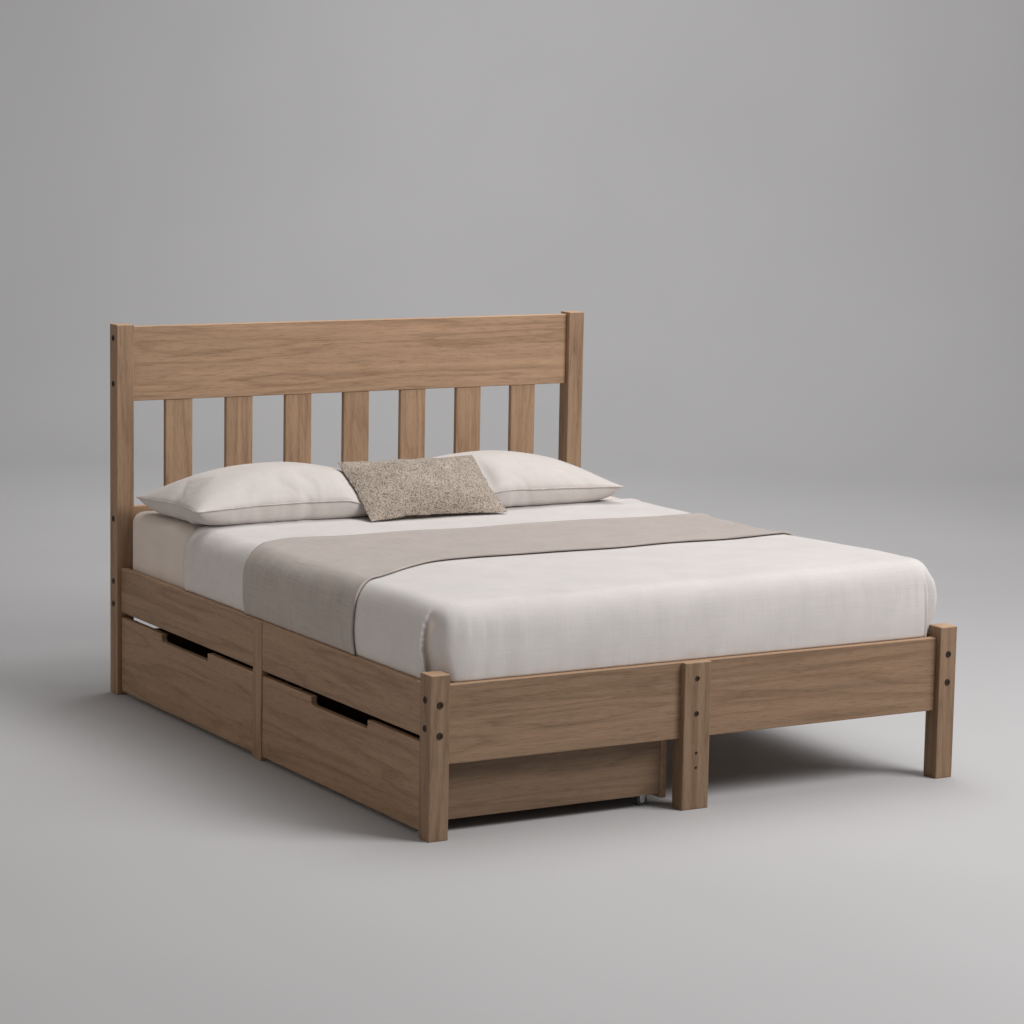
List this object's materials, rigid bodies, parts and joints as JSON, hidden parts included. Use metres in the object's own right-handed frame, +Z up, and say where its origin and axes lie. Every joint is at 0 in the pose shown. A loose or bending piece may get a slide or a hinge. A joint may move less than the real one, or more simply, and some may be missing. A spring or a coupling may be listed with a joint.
{
  "type": "platform bed",
  "caption": "Platform bed with a slatted headboard, low foot rail, slat base and roll-out under-bed storage drawers on castors, dressed with mattress, coverlet, runner, pillows and cushion.",
  "frame": {"origin": "on the floor, under the centre of the bed's footprint", "axes": "+Z up, +Y from the foot end to the headboard, -X the side that the drawers roll out of"},
  "size_m": [1.68, 2.095, 1.158],
  "materials": {
    "oak": "mid-brown oiled oak with a fine open grain, satin",
    "drawer_ply": "thin plywood, matt",
    "sheet_cotton": "plain warm white cotton, matt",
    "coverlet_cotton": "heavier off-white cotton, matt",
    "runner_wool": "light greige woven wool, matt",
    "cushion_boucle": "looped boucle, taupe",
    "castor_steel": "zinc plated",
    "castor_tread": "dark plastic"
  },
  "bodies": {
    "frame": {"head_post_left": "oak", "head_post_right": "oak", "headboard_top_rail": "oak", "headboard_lower_rail": "oak", "head_cross_rail": "oak", "headboard_slat_1": "oak", "headboard_slat_2": "oak", "headboard_slat_3": "oak", "headboard_slat_4": "oak", "headboard_slat_5": "oak", "headboard_slat_6": "oak", "headboard_slat_7": "oak", "foot_post_left": "oak", "foot_post_right": "oak", "foot_rail": "oak", "foot_centre_leg": "oak", "side_rail_left_foot": "oak", "side_rail_left_head": "oak", "side_mid_post_left": "oak", "slat_ledger_left": "oak", "side_rail_right_foot": "oak", "side_rail_right_head": "oak", "side_mid_post_right": "oak", "slat_ledger_right": "oak", "centre_beam": "oak", "centre_beam_leg": "oak", "slat_roll": "oak", "mattress": "sheet_cotton", "coverlet": "coverlet_cotton", "runner": "runner_wool", "pillow_left": "sheet_cotton", "pillow_right": "sheet_cotton", "lumbar_cushion": "cushion_boucle"},
    "drawer_head": {"drawer_head_front": "oak", "drawer_head_foot_side": "oak", "drawer_head_head_side": "oak", "drawer_head_back": "oak", "drawer_head_base": "drawer_ply", "castor_bracket_head_1": "castor_steel", "castor_bracket_head_2": "castor_steel", "castor_bracket_head_3": "castor_steel", "castor_bracket_head_4": "castor_steel"},
    "drawer_foot": {"drawer_foot_front": "oak", "drawer_foot_foot_side": "oak", "drawer_foot_head_side": "oak", "drawer_foot_back": "oak", "drawer_foot_base": "drawer_ply", "castor_bracket_foot_1": "castor_steel", "castor_bracket_foot_2": "castor_steel", "castor_bracket_foot_3": "castor_steel", "castor_bracket_foot_4": "castor_steel"},
    "castor_head_1": {"castor_wheel_head_1": "castor_tread"},
    "castor_head_2": {"castor_wheel_head_2": "castor_tread"},
    "castor_head_3": {"castor_wheel_head_3": "castor_tread"},
    "castor_head_4": {"castor_wheel_head_4": "castor_tread"},
    "castor_foot_1": {"castor_wheel_foot_1": "castor_tread"},
    "castor_foot_2": {"castor_wheel_foot_2": "castor_tread"},
    "castor_foot_3": {"castor_wheel_foot_3": "castor_tread"},
    "castor_foot_4": {"castor_wheel_foot_4": "castor_tread"}
  },
  "joints": [
    {"name": "drawer_head_slide", "type": "slide", "parent": "frame", "child": "drawer_head", "axis": [-1, 0, 0], "range_m": [0, 0.7]},
    {"name": "drawer_foot_slide", "type": "slide", "parent": "frame", "child": "drawer_foot", "axis": [-1, 0, 0], "range_m": [0, 0.7]},
    {"name": "castor_head_1_spin", "type": "hinge", "parent": "drawer_head", "child": "castor_head_1", "pos_m": [-0.7467, 0.0785, 0.016], "axis": [0, -1, 0], "continuous": true},
    {"name": "castor_head_2_spin", "type": "hinge", "parent": "drawer_head", "child": "castor_head_2", "pos_m": [-0.7467, 0.9405, 0.016], "axis": [0, -1, 0], "continuous": true},
    {"name": "castor_head_3_spin", "type": "hinge", "parent": "drawer_head", "child": "castor_head_3", "pos_m": [-0.1323, 0.0785, 0.016], "axis": [0, -1, 0], "continuous": true},
    {"name": "castor_head_4_spin", "type": "hinge", "parent": "drawer_head", "child": "castor_head_4", "pos_m": [-0.1323, 0.9405, 0.016], "axis": [0, -1, 0], "continuous": true},
    {"name": "castor_foot_1_spin", "type": "hinge", "parent": "drawer_foot", "child": "castor_foot_1", "pos_m": [-0.7467, -0.9405, 0.016], "axis": [0, -1, 0], "continuous": true},
    {"name": "castor_foot_2_spin", "type": "hinge", "parent": "drawer_foot", "child": "castor_foot_2", "pos_m": [-0.7467, -0.0785, 0.016], "axis": [0, -1, 0], "continuous": true},
    {"name": "castor_foot_3_spin", "type": "hinge", "parent": "drawer_foot", "child": "castor_foot_3", "pos_m": [-0.1323, -0.9405, 0.016], "axis": [0, -1, 0], "continuous": true},
    {"name": "castor_foot_4_spin", "type": "hinge", "parent": "drawer_foot", "child": "castor_foot_4", "pos_m": [-0.1323, -0.0785, 0.016], "axis": [0, -1, 0], "continuous": true}
  ],
  "couplings": [
    {"joint": "castor_head_1_spin", "follows": "drawer_head_slide", "rad_per_m": 62.5},
    {"joint": "castor_head_2_spin", "follows": "drawer_head_slide", "rad_per_m": 62.5},
    {"joint": "castor_head_3_spin", "follows": "drawer_head_slide", "rad_per_m": 62.5},
    {"joint": "castor_head_4_spin", "follows": "drawer_head_slide", "rad_per_m": 62.5},
    {"joint": "castor_foot_1_spin", "follows": "drawer_foot_slide", "rad_per_m": 62.5},
    {"joint": "castor_foot_2_spin", "follows": "drawer_foot_slide", "rad_per_m": 62.5},
    {"joint": "castor_foot_3_spin", "follows": "drawer_foot_slide", "rad_per_m": 62.5},
    {"joint": "castor_foot_4_spin", "follows": "drawer_foot_slide", "rad_per_m": 62.5}
  ]
}
